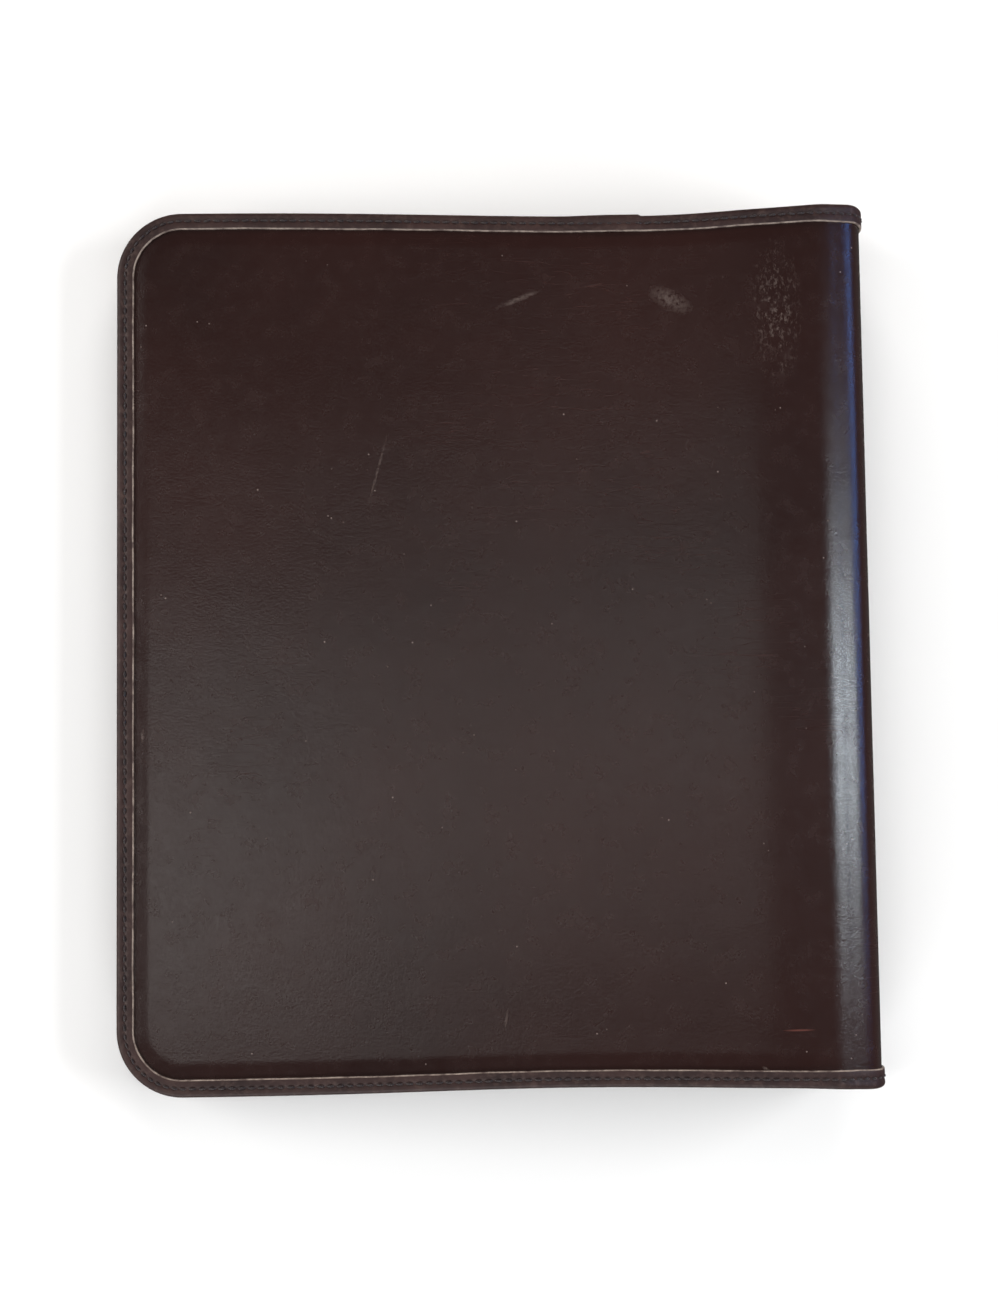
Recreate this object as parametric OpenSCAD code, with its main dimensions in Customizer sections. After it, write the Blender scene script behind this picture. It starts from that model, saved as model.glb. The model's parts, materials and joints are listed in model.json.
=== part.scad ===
// Ring notebook cover in leather: two padded covers hinged to a round spine that
// carries a three-ring mechanism. The front cover lies outer face down, the spine
// stands up at +X, and the back cover closes over it and slopes down to its free edge.
// Millimetres, +X to the spine, +Y to the head, +Z up, origin under the middle.

/* [Cover] */
// Height of the cover from head to foot
cover_h = 302; // [290:1:330]
// Width of the closed cover from free edge to spine
cover_w = 260; // [250:1:275]
// Thickness of the closed cover at the spine
closed_t = 45; // [44.5:0.5:52]
// Angle by which the closed back cover slopes down to its free edge
slope = 7; // [4:0.5:7]
// Radius of the free corners
corner_r = 22.5; // [14:0.5:30]
// How much shorter the front cover is than the back cover
front_short = 1; // [0:0.5:3]

/* [Leather and tape] */
// Thickness of the outer leather
leather_t = 1.3; // [1:0.1:1.5]
// Thickness of the lining leather
lining_t = 0.9; // [0.7:0.1:1.1]
// Thickness of the binding tape
tape_t = 0.9; // [0.6:0.1:1]
// Width of the binding tape on each face
tape_w = 6; // [5:0.5:6.5]
// Width of the sewn line
thread_w = 0.5; // [0.4:0.1:0.8]

/* [Boards and padding] */
// Thickness of the cover boards and the spine board
board_t = 2; // [1.5:0.1:2.4]
// Thickness of the foam under the outer leather
foam_t = 1.6; // [1:0.1:2]
// Distance from the cover's edge to its board
core_inset = 7.9; // [7.8:0.1:12]
// Where the padded panels end, measured from the middle of the cover
panel_end = 100; // [90:1:101]

/* [Spine] */
// Radius of the outer curve between spine and cover
spine_r = 20; // [19:0.5:22]
// Width of the spine board
spine_board_w = 23.6; // [22:0.2:23.8]
// Thickness of the padding behind the spine board
spine_pad_t = 3; // [2.5:0.1:3]

/* [Ring mechanism] */
// Distance between neighbouring rings
ring_pitch = 108; // [80:1:108]
// Inner diameter of the rings
ring_d = 19; // [17:0.5:20]
// Diameter of the ring wire
wire_d = 3.2; // [2.8:0.1:3.4]
// Length of the ring plate
plate_l = 279; // [275:1:281]
// Width of the ring plate
plate_w = 22; // [21.6:0.1:23]
// Height of the ring plate
plate_h = 7; // [6.8:0.1:7.6]
// Thickness of the ring plate
plate_t = 0.9; // [0.7:0.1:0.9]

/* [Pockets] */
// Where the mouth of the document pocket lies
document_mouth_x = -28; // [-60:1:-24]
// Where the mouth of the pad pocket lies
pad_mouth_x = 20; // [-40:1:60]
// Width of the card slots
card_w = 90; // [88:1:92]
// Height of each card slot
card_h = 70; // [60:1:75]
// Step between neighbouring card slots
card_step = 16; // [12:1:20]
// Inner radius of the pen loop
pen_r = 5.5; // [4.5:0.5:6]
// Length of the pen loop
pen_l = 35; // [20:1:50]

/* [Hidden] */
$fn = 96;

// Depths below the outer face of a cover
tape_lift = 0.4;
thread_t = 0.15;
seam_top = tape_lift + tape_t;
flange_top = seam_top + leather_t;
lining_flange_top = flange_top + lining_t;
tape_top = lining_flange_top + tape_t;
board_low = leather_t + foam_t;
lining_low = board_low + board_t;
inner_face = lining_low + lining_t;

// The curve between a cover and the spine, and the hinge lines that flatten it.
// The hinge line is placed so that the leather keeps its length when it opens flat.
envelope_x = cover_w / 2 + tape_lift - thread_t;
curve_x = envelope_x - spine_r;
hinge_inset = spine_r * (1 - PI / 4);
hinge_x = envelope_x - hinge_inset;
back_hinge_z = closed_t - hinge_inset;
cover_lip = 3;
spine_lip = 1;

// Free edges of the two covers, the back one before it is sloped
front_free = front_short - cover_w / 2;
back_run = hinge_x + cover_w / 2 - (hinge_inset - tape_lift) * sin(slope);
back_free = hinge_x - back_run / cos(slope);

// Spine layers, measured inward from the envelope
spine_board_depth = flange_top + spine_pad_t;
spine_lining_depth = spine_board_depth + board_t;
seat_depth = spine_lining_depth + lining_t;
seat_x = envelope_x - seat_depth;
board_edge = (closed_t - spine_board_w) / 2;

// Ring mechanism, in its own frame: X across the plate, Y along it, Z off the spine
blade_z = 2.6;
blade_t = 1.2;
blade_l = 262;
blade_gap = 0.2;
pivot_u = plate_w / 2 - 1.8;
ring_mid_r = (ring_d + wire_d) / 2;
ring_rise = blade_z + 9;
ring_gap = 0.15;
notch_w = wire_d + 1;
notch_low = 2;
plate_lip = 2.4;
shoulder = [plate_w / 2, 4];
haunch = [plate_w / 2 - 2.8, plate_h - 0.7];
crest = [plate_w / 2 - 6, plate_h];
rivet_y = 120;
rivet_r = 1.6;
rivet_head_r = 3;
rivet_head_t = 0.9;
rivet_slack = 0.05;
pin_y = 134;
pin_r = 0.8;
pin_slack = 0.05;
hub_r = 1.9;
hub_w = 15;
tongue_w = 4;
arm_w = 12;

// Pockets
pocket_inset = 9;
pocket_seam = 5;
pocket_gap = 0.3;
pocket_t = 0.8;
card_x = -18;
card_top_y = 132;
card_t = 0.7;
pen_x = 81;
pen_t = 1.1;
pen_tab_w = 22;
pen_tab_t = 0.7;

// Colours
cover_brown = [0.23, 0.17, 0.16];
tape_brown = [0.27, 0.2, 0.19];
thread_dark = [0.12, 0.06, 0.06];
lining_brown = [0.3, 0.22, 0.19];
pocket_brown = [0.34, 0.25, 0.21];
board_grey = [0.55, 0.52, 0.47];
foam_white = [0.85, 0.84, 0.8];
steel_grey = [0.72, 0.73, 0.75];

// Outline of a cover, moved in by inset, from its free edge to end_x
module plan(free_x, inset, end_x) {
  left = free_x + inset;
  half = cover_h / 2 - inset;
  r = corner_r - inset;
  translate([left + r, -half]) square([end_x - left - r, 2 * half]);
  translate([left, r - half]) square([2 * r, 2 * (half - r)]);
  for (side = [-1, 1]) translate([left + r, side * (half - r)]) circle(r);
}

// Flat layer of a cover between two depths
module slab(free_x, inset, end_x, low, high) {
  translate([0, 0, low]) linear_extrude(high - low) plan(free_x, inset, end_x);
}

// Carries a profile (radius, Y) round the lower curve; 90 is at the cover, 0 at the spine
module curve(from, to) {
  translate([curve_x, 0, spine_r]) rotate([-90, 0, 0]) rotate([0, 0, from])
    rotate_extrude(angle = to - from) children();
}

// Turns a front cover piece over and folds it to where the back cover lies
module folded_back() {
  translate([hinge_x, 0, back_hinge_z]) rotate([0, -slope, 0])
    translate([-hinge_x, 0, -back_hinge_z]) flipped() children();
}

module flipped() {
  translate([0, 0, closed_t]) mirror([0, 0, 1]) children();
}

// Half of the curve that belongs to a cover, carried up from the cover's own plane
module cover_curve() {
  translate([curve_x, 0, spine_r]) rotate([0, 90, 0]) rotate([90, 0, 0])
    rotate_extrude(angle = 45 - cover_lip) children();
}

// The spine's own half of both curves and the straight between them
module spine_sweep() {
  curve(0, 45 - spine_lip) children();
  flipped() curve(0, 45 - spine_lip) children();
  translate([curve_x, 0, spine_r]) linear_extrude(closed_t - 2 * spine_r) children();
}

// Profiles of the curved layers: a strip between two depths, over a length along Y
module strip(low, high, half) {
  translate([spine_r - high, -half]) square([high - low, 2 * half]);
}

module tape_profile() {
  difference() {
    translate([spine_r - tape_top, cover_h / 2 - tape_w])
      square([tape_top - tape_lift, tape_w]);
    translate([spine_r - lining_flange_top, cover_h / 2 - tape_w - 1])
      square([leather_t + lining_t, tape_w + 1 - tape_t]);
  }
}

module thread_profile() {
  for (low = [tape_lift - thread_t, tape_top])
    translate([spine_r - low - thread_t, cover_h / 2 - (tape_w + thread_w) / 2])
      square([thread_t, thread_w]);
}

// Both ends of a profile that lies at the head
module head_and_foot() {
  children();
  mirror([0, 1, 0]) children();
}

module cover_leather(free_x) {
  difference() {
    union() {
      slab(free_x, tape_t, curve_x, seam_top, flange_top);
      slab(free_x, core_inset - leather_t, panel_end, 0, flange_top);
    }
    slab(free_x, core_inset, panel_end - leather_t, leather_t, flange_top + 1);
  }
  cover_curve() strip(seam_top, flange_top, cover_h / 2 - tape_t);
}

module cover_foam(free_x) {
  slab(free_x, core_inset, panel_end - leather_t, leather_t, board_low);
}

module cover_board(free_x) {
  slab(free_x, core_inset, panel_end - leather_t, board_low, lining_low);
}

module cover_lining(free_x) {
  difference() {
    union() {
      slab(free_x, tape_t, curve_x, flange_top, lining_flange_top);
      slab(free_x, core_inset - lining_t, panel_end - leather_t + lining_t,
        flange_top, inner_face);
    }
    slab(free_x, core_inset, panel_end - leather_t, flange_top - 1, lining_low);
  }
  cover_curve() strip(flange_top, lining_flange_top, cover_h / 2 - tape_t);
}

module cover_binding(free_x) {
  difference() {
    slab(free_x, 0, curve_x, tape_lift, tape_top);
    slab(free_x, tape_t, curve_x + 1, seam_top, lining_flange_top);
    slab(free_x, tape_w, curve_x + 1, 0, tape_top + 1);
  }
  head_and_foot() cover_curve() tape_profile();
}

module cover_stitching(free_x) {
  for (low = [tape_lift - thread_t, tape_top])
    difference() {
      slab(free_x, (tape_w - thread_w) / 2, curve_x, low, low + thread_t);
      slab(free_x, (tape_w + thread_w) / 2, curve_x + 1, low - 1, low + 1);
    }
  head_and_foot() cover_curve() thread_profile();
}

// Flat pocket sewn to the lining on three sides, its mouth towards the spine
module cover_pocket(free_x, mouth_x) {
  difference() {
    slab(free_x, pocket_inset, mouth_x, inner_face, inner_face + pocket_gap + pocket_t);
    slab(free_x, pocket_inset + pocket_seam, mouth_x + 1,
      inner_face - 1, inner_face + pocket_gap);
  }
}

module front_leather() { color(cover_brown) cover_leather(front_free); }
module front_foam() { color(foam_white) cover_foam(front_free); }
module front_board() { color(board_grey) cover_board(front_free); }
module front_lining() { color(lining_brown) cover_lining(front_free); }
module front_binding() { color(tape_brown) cover_binding(front_free); }
module front_stitching() { color(thread_dark) cover_stitching(front_free); }

module document_pocket() {
  color(pocket_brown) cover_pocket(front_free, document_mouth_x);
}

// One card slot, counted from the lining up; a later one steps down to the lining
module card_slot(count) {
  foot_y = card_top_y - count * card_step - card_h;
  low = inner_face + count * card_t;
  color(pocket_brown) {
    translate([card_x, foot_y, low]) cube([card_w, card_h, card_t]);
    if (count > 0)
      translate([card_x, foot_y, inner_face])
        cube([card_w, card_step, low + card_t - inner_face]);
  }
}

module card_slot_1() { card_slot(0); }
module card_slot_2() { card_slot(1); }
module card_slot_3() { card_slot(2); }

// Loop for a pen, a tube on a flat tab that is sewn to the front cover's lining
module pen_loop() {
  outer_r = pen_r + pen_t;
  color(pocket_brown) translate([pen_x, 0, inner_face]) difference() {
    union() {
      translate([0, pen_l / 2, outer_r]) rotate([90, 0, 0]) cylinder(r = outer_r, h = pen_l);
      translate([-pen_tab_w / 2, -pen_l / 2, 0]) cube([pen_tab_w, pen_l, pen_tab_t]);
    }
    translate([0, pen_l / 2 + 1, outer_r]) rotate([90, 0, 0])
      cylinder(r = pen_r, h = pen_l + 2);
  }
}

module spine_leather() {
  color(cover_brown) spine_sweep() strip(seam_top, flange_top, cover_h / 2 - tape_t);
}

// Space inside the spine leather, from head to foot of the core
module inside_spine(half) {
  r = spine_r - flange_top;
  for (z = [spine_r, closed_t - spine_r])
    translate([curve_x, half, z]) rotate([90, 0, 0]) cylinder(r = r, h = 2 * half);
  translate([curve_x, -half, spine_r]) cube([r, 2 * half, closed_t - 2 * spine_r]);
}

module spine_pad() {
  half = cover_h / 2 - core_inset;
  color(foam_white) difference() {
    intersection() {
      translate([envelope_x - spine_board_depth, -half, board_edge])
        cube([spine_pad_t, 2 * half, spine_board_w]);
      inside_spine(half);
    }
    for (y = [-rivet_y, rivet_y])
      on_spine() translate([0, y, -lining_t - board_t - rivet_head_t - rivet_slack])
        cylinder(r = rivet_head_r + rivet_slack, h = 2 * rivet_head_t);
  }
}

module spine_board() {
  half = cover_h / 2 - core_inset;
  color(board_grey) difference() {
    translate([envelope_x - spine_lining_depth, -half, board_edge])
      cube([board_t, 2 * half, spine_board_w]);
    rivet_holes();
  }
}

module spine_lining() {
  half = cover_h / 2 - core_inset;
  wall_z = spine_r - board_edge + lining_t / 2;
  wall_turn = asin(wall_z / (spine_r - flange_top));
  wall_reach = sqrt(pow(spine_r - flange_top, 2) - pow(wall_z + lining_t / 2, 2));
  color(lining_brown) difference() {
    union() {
      translate([seat_x, -half, board_edge - lining_t])
        cube([lining_t, 2 * half, spine_board_w + 2 * lining_t]);
      lining_wall(half, curve_x + wall_reach - seat_x - 0.05);
      flipped() lining_wall(half, curve_x + wall_reach - seat_x - 0.05);
      lining_curve(wall_turn);
      flipped() lining_curve(wall_turn);
    }
    rivet_holes();
  }
}

// Edge of the lining that turns down over the side of the spine board
module lining_wall(half, reach) {
  translate([seat_x, -half, board_edge - lining_t]) cube([reach, 2 * half, lining_t]);
}

module lining_curve(wall_turn) {
  curve(wall_turn, 45 - spine_lip)
    strip(flange_top, lining_flange_top, cover_h / 2 - tape_t);
}

module spine_binding_head() { color(tape_brown) spine_sweep() tape_profile(); }

module spine_binding_foot() {
  color(tape_brown) mirror([0, 1, 0]) spine_sweep() tape_profile();
}

module spine_stitching() {
  color(thread_dark) head_and_foot() spine_sweep() thread_profile();
}

// Places the ring mechanism on the spine lining
module on_spine() {
  translate([seat_x, 0, closed_t / 2]) rotate([0, -90, 0]) children();
}

module rivet_holes() {
  for (y = [-rivet_y, rivet_y]) on_spine() translate([0, y, -seat_depth])
    cylinder(r = rivet_r + rivet_slack, h = seat_depth + plate_h + 1);
}

// The plate's section: side walls, haunches and crest, with a lip turned in below each wall
module plate_section() {
  half = [
    [crest[0] - 0.1, plate_h - plate_t], [haunch[0] - 0.4, haunch[1] - 0.8],
    [shoulder[0] - plate_t, shoulder[1] - 0.4], [shoulder[0] - plate_t, plate_t],
    [shoulder[0] - plate_lip, plate_t], [shoulder[0] - plate_lip, 0], [shoulder[0], 0],
    shoulder, haunch, crest
  ];
  last = len(half) - 1;
  polygon(concat(half, [for (i = [0:last]) [-half[last - i][0], half[last - i][1]]]));
}

module ring_plate() {
  color(steel_grey) difference() {
    on_spine() difference() {
      translate([0, plate_l / 2, 0]) rotate([90, 0, 0]) linear_extrude(plate_l)
        plate_section();
      for (place = [-1:1], side = [-1, 1])
        translate([side > 0 ? 5 : -5 - plate_w, place * ring_pitch - notch_w / 2, notch_low])
          cube([plate_w, notch_w, plate_h]);
    }
    rivet_holes();
  }
}

module rivets() {
  color(steel_grey) for (y = [-rivet_y, rivet_y]) on_spine() translate([0, y, 0]) {
    translate([0, 0, -lining_t - board_t]) cylinder(r = rivet_r, h = lining_t + board_t + plate_h);
    translate([0, 0, plate_h]) cylinder(r = rivet_head_r, h = rivet_head_t);
    translate([0, 0, -lining_t - board_t - rivet_head_t])
      cylinder(r = rivet_head_r, h = rivet_head_t);
  }
}

module trigger_pins() {
  span = plate_w - 2 * plate_t;
  color(steel_grey) for (y = [-pin_y, pin_y])
    on_spine() translate([-span / 2, y, blade_z]) rotate([0, 90, 0])
      cylinder(r = pin_r, h = span);
}

// Blade along one side of the plate, round at the outer edge that it turns on
module blade() {
  difference() {
    union() {
      translate([blade_gap, -blade_l / 2, blade_z - blade_t / 2])
        cube([pivot_u - blade_gap, blade_l, blade_t]);
      translate([pivot_u, blade_l / 2, blade_z]) rotate([90, 0, 0])
        cylinder(r = blade_t / 2, h = blade_l);
    }
    for (y = [-rivet_y, rivet_y])
      translate([-1, y - 2.8, 0]) cube([3.6, 5.6, plate_h]);
  }
}

// Half of a ring, from the blade's face round to the middle, where it meets its partner
module half_ring(place) {
  difference() {
    translate([0, place * ring_pitch, ring_rise]) rotate([90, 0, 0]) rotate([0, 0, -90])
      rotate_extrude(angle = 180) translate([ring_mid_r, 0]) circle(d = wire_d);
    translate([-plate_w, place * ring_pitch - wire_d, -plate_w])
      cube([2 * plate_w, 2 * wire_d, plate_w + blade_z + blade_t / 2]);
    translate([-plate_w, place * ring_pitch - wire_d, 0])
      cube([plate_w + ring_gap, 2 * wire_d, 3 * plate_w]);
  }
}

module upper_side() { color(steel_grey) on_spine() children(); }
module lower_side() { color(steel_grey) on_spine() mirror([1, 0, 0]) children(); }

module blade_upper() { upper_side() blade(); }
module ring_upper_head() { upper_side() half_ring(1); }
module ring_upper_middle() { upper_side() half_ring(0); }
module ring_upper_foot() { upper_side() half_ring(-1); }
module blade_lower() { lower_side() blade(); }
module ring_lower_head() { lower_side() half_ring(1); }
module ring_lower_middle() { lower_side() half_ring(0); }
module ring_lower_foot() { lower_side() half_ring(-1); }

// Opening lever: a tongue under the blades, a hub on its pin and a tab outside the plate
module trigger() {
  color(steel_grey) on_spine() difference() {
    union() {
      translate([-hub_w / 2, pin_y, blade_z]) rotate([0, 90, 0]) cylinder(r = hub_r, h = hub_w);
      translate([-tongue_w / 2, pin_y - 4.4, 0.7]) cube([tongue_w, 4.4, 0.8]);
      translate([-arm_w / 2, pin_y, 0]) rotate([90, 0, 90]) linear_extrude(arm_w)
        polygon([[0, 1.6], [7.5, 4.2], [9.2, 11], [8.2, 11.4], [6.2, 5.4], [0, 4.4]]);
    }
    translate([-hub_w, pin_y, blade_z]) rotate([0, 90, 0])
      cylinder(r = pin_r + pin_slack, h = 2 * hub_w);
  }
}

module trigger_head() { trigger(); }
module trigger_foot() { mirror([0, 1, 0]) trigger(); }

module back_leather() { color(cover_brown) folded_back() cover_leather(back_free); }
module back_foam() { color(foam_white) folded_back() cover_foam(back_free); }
module back_board() { color(board_grey) folded_back() cover_board(back_free); }
module back_lining() { color(lining_brown) folded_back() cover_lining(back_free); }
module back_binding() { color(tape_brown) folded_back() cover_binding(back_free); }
module back_stitching() { color(thread_dark) folded_back() cover_stitching(back_free); }

module pad_pocket() {
  color(pocket_brown) folded_back() cover_pocket(back_free, pad_mouth_x);
}

front_leather();
front_foam();
front_board();
front_lining();
front_binding();
front_stitching();
document_pocket();
card_slot_1();
card_slot_2();
card_slot_3();
pen_loop();
spine_leather();
spine_pad();
spine_board();
spine_lining();
spine_binding_head();
spine_binding_foot();
spine_stitching();
ring_plate();
rivets();
trigger_pins();
blade_upper();
ring_upper_head();
ring_upper_middle();
ring_upper_foot();
blade_lower();
ring_lower_head();
ring_lower_middle();
ring_lower_foot();
trigger_head();
trigger_foot();
back_leather();
back_foam();
back_board();
back_lining();
back_binding();
back_stitching();
pad_pocket();
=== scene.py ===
# A leather ring notebook cover, closed, lying on its front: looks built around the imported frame.
import bpy
import bmesh
import json
import math
import numpy as np
from mathutils import Matrix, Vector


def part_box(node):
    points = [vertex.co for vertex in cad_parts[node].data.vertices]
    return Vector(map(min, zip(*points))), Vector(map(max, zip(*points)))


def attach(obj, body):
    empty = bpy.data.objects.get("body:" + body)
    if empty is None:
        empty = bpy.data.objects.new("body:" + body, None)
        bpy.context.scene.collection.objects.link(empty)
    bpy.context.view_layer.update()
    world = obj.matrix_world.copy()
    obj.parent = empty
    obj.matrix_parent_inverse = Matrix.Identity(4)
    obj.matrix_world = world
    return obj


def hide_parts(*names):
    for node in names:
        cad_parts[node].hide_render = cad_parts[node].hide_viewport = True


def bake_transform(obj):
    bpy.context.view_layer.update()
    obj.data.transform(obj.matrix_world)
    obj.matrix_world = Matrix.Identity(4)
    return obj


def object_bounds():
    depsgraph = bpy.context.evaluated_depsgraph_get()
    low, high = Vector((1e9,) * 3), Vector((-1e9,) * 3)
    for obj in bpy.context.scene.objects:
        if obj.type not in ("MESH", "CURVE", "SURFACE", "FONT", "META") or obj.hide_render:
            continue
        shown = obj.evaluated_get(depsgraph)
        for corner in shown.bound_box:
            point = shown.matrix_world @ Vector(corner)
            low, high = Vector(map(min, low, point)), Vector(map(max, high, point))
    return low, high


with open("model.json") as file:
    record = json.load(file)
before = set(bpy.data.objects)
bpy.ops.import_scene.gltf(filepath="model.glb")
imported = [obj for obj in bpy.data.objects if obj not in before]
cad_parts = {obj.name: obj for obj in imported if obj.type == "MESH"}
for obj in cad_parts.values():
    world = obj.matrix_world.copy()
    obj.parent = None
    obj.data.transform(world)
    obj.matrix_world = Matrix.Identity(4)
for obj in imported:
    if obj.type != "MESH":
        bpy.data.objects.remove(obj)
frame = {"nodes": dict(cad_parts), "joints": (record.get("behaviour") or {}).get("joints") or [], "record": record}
lowBox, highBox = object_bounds()

# sizes are in millimetres and worked out from the frame
mm = 0.001
joints = {joint["name"]: joint for joint in frame["joints"]}
frontHinge = np.array(joints["front_hinge"]["pos_m"]) / mm
backHinge = np.array(joints["back_hinge"]["pos_m"]) / mm
closedThickness = frontHinge[2] + backHinge[2]
hingeInset = frontHinge[2]
curveRadius = hingeInset / (1 - math.pi / 4)
envelopeX = frontHinge[0] + hingeInset
slope = math.radians(joints["back_hinge"]["range_deg"][1] - 90)
halfHeight = (highBox[1] - lowBox[1]) / 2 / mm

stack = {  # depths below the outer face, then two thicknesses and a clearance
    "tapeOut": 0.4, "flange": 1.3, "leather": 1.3, "liningFlange": 3.5, "tapeIn": 4.4,
    "boardLow": 2.9, "boardHigh": 4.9, "innerFace": 5.8, "spineLining": 8.5,
    "leatherThick": 1.1, "liningThick": 0.8, "clear": 0.12,
}
cover = {
    "cornerRadius": 22.5, "coreInset": 7.9, "tapeWidth": 6.0, "panelEnd": 100.0,
    "stitchPitch": 3.3, "stitchInset": 3.0,
    # how far head and foot edges are drawn in: (most, at x, reach to free edge, reach to spine)
    "drawnHead": (4.0, 50, 95, 50), "drawnFoot": (1.9, 25, 70, 75),
    # the fold sinks this far, past its middle, over these reaches toward spine and cover
    "foldSink": 1.9, "foldPast": 8.0, "foldReach": (12.0, 36.0),
}


# 0 below low, 1 above high, and the cubic 3t^2 - 2t^3 between
def smoothStep(x, low, high):
    t = np.clip((x - low) / (high - low), 0, 1)
    return t * t * (3 - 2 * t)


# one leather cover with its half of the spine, measured along the leather: u runs from the
# middle of the spine (0) round the curve to the free edge, y to the head, depth inward
class Sheet:
    # the curve's centre lies off the hinge along the half of the corner between spine and cover
    def __init__(self, name, body, tilt, freeEdge, drawn, mirrored):
        self.name, self.body, self.tilt, self.mirrored = name, body, tilt, mirrored
        self.drawn = drawn
        half = (math.pi / 2 - tilt) / 2
        reach = (curveRadius - hingeInset) / math.sin(half)
        pivot = np.array([backHinge[0], backHinge[2]])
        inward = -np.array([math.cos(tilt), 1 + math.sin(tilt)])
        inward /= np.linalg.norm(inward)
        self.centre = pivot + inward * reach
        self.uCurve = self.centre[1] - closedThickness / 2
        self.turn = math.pi / 2 + tilt
        self.uFlat = self.uCurve + curveRadius * self.turn
        foot = (curveRadius - hingeInset) / math.tan(half)
        self.uFree = self.uFlat + freeEdge - foot
        self.uHinge = self.uFlat - curveRadius * self.turn / 2

    # length along the leather where the flat cover passes x
    def uAt(self, x):
        start = self.centre[0] + curveRadius * math.cos(self.turn)
        return self.uFlat + (start - x) / math.cos(self.tilt)

    # straight up the spine, round a circle through the turn, then straight to the free
    # edge; depth moves the point along the inward normal
    def place(self, u, y, depth):
        u, y, depth = np.broadcast_arrays(*[np.asarray(a, float) for a in (u, y, depth)])
        toSpine, toCover = cover["foldReach"]
        deepest = self.uHinge + cover["foldPast"]
        sink = smoothStep(u, deepest - toSpine, deepest)
        sink = sink * (1 - smoothStep(u, deepest, deepest + toCover))
        depth = depth + cover["foldSink"] * sink
        angle = np.clip((u - self.uCurve) / curveRadius, 0, self.turn)
        before = np.minimum(u - self.uCurve, 0)
        after = np.maximum(u - self.uFlat, 0)
        out = np.stack([np.cos(angle), np.sin(angle)], -1)
        along = np.stack([-np.sin(angle), np.cos(angle)], -1)
        flat = self.centre + out * (curveRadius - depth)[..., None]
        flat = flat + along * (before + after)[..., None]
        z = flat[..., 1]
        if self.mirrored:
            z = closedThickness - z
        pulled = y - self.drawnIn(flat[..., 0], y)
        return np.stack([flat[..., 0], pulled, z], -1) * mm

    # the worn cover is a little waisted: a lopsided bell along x, growing as y to the edge,
    # and none at the middle of the spine
    def drawnIn(self, x, y):
        total = 0
        for sign, key in ((1, "drawnHead"), (-1, "drawnFoot")):
            most, at, left, right = cover[key]
            bell = np.exp(-(((x - at) / np.where(x < at, left, right)) ** 2))
            bell = bell * smoothStep(-x, -envelopeX, -envelopeX + 14)
            share = np.clip(sign * y / halfHeight, 0, 1)
            total = total + sign * most * self.drawn * bell * share
        return total

    # half the cover's height at u: full, then falling along the corner's circle
    def halfAt(self, u, inset):
        r = cover["cornerRadius"] - inset
        into = np.clip(u - (self.uFree - cover["cornerRadius"]), 0, r)
        return halfHeight - inset - r + np.sqrt(np.maximum(r * r - into * into, 0))

    # distance in from the cover's rounded outline
    def edgeDistance(self, u, y):
        r = cover["cornerRadius"]
        p = np.maximum(u - (self.uFree - r), 0)
        q = np.maximum(np.abs(y) - (halfHeight - r), 0)
        straight = np.minimum(halfHeight - np.abs(y), self.uFree - u)
        return np.where((p > 0) & (q > 0), r - np.hypot(p, q), straight)


frontEdge = frontHinge[0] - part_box("front_binding")[0][0] / mm
backRun = backHinge[0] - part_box("back_binding")[0][0] / mm
backEdge = (backRun - (hingeInset - stack["tapeOut"]) * math.sin(slope)) / math.cos(slope)
sheets = {
    "back": Sheet("back", "back_cover", slope, backEdge, 1.0, False),
    "front": Sheet("front", "front_cover", 0.0, frontEdge, 0.9, True),
}
print("sizes ready: curve radius", round(curveRadius, 2), "slope", round(math.degrees(slope), 2))


# positions between the marks, each stretch cut into equal steps of about the size given
def spread(marks, steps):
    parts = [
        np.linspace(a, b, max(2, int(math.ceil((b - a) / step)) + 1))
        for a, b, step in zip(marks[:-1], marks[1:], steps)
    ]
    return np.unique(np.concatenate(parts).round(6))


# a mesh from an (n, 3) array and an (m, 4) array or list of faces, with normals outward
def makePiece(name, points, faces, materials, faceMaterial=None, sharp=40):
    mesh = bpy.data.meshes.new(name)
    mesh.from_pydata(np.asarray(points).reshape(-1, 3), [], [list(map(int, f)) for f in faces])
    for material in materials:
        mesh.materials.append(material)
    if faceMaterial is not None:
        mesh.polygons.foreach_set("material_index", np.asarray(faceMaterial, np.int32))
    build = bmesh.new()
    build.from_mesh(mesh)
    bmesh.ops.remove_doubles(build, verts=build.verts, dist=1e-6)
    bmesh.ops.recalc_face_normals(build, faces=build.faces)
    build.to_mesh(mesh)
    build.free()
    mesh.polygons.foreach_set("use_smooth", np.ones(len(mesh.polygons), bool))
    mesh.set_sharp_from_angle(angle=math.radians(sharp))
    piece = bpy.data.objects.new(name, mesh)
    bpy.context.scene.collection.objects.link(piece)
    return piece


# quads of a rows by columns grid, wrapped round its columns if closed
def gridFaces(rows, columns, offset=0, closed=False):
    index = np.arange(rows * columns).reshape(rows, columns) + offset
    across = np.roll(index, -1, 1) if closed else index[:, 1:]
    here = index if closed else index[:, :-1]
    return np.stack([here[:-1], across[:-1], across[1:], here[1:]], -1).reshape(-1, 4)


# points and faces of a slab between two grids of one shape, walled round its border
def closedSheet(outer, inner):
    rows, columns = outer.shape[:2]
    count = rows * columns
    index = np.arange(count).reshape(rows, columns)
    rim = np.concatenate([index[0, :-1], index[:-1, -1], index[-1, :0:-1], index[:0:-1, 0]])
    after = np.roll(rim, -1)
    walls = np.stack([rim, rim + count, after + count, after], -1)
    faces = np.concatenate([
        gridFaces(rows, columns), gridFaces(rows, columns, count)[:, ::-1], walls
    ])
    return np.concatenate([outer.reshape(-1, 3), inner.reshape(-1, 3)]), faces


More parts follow.
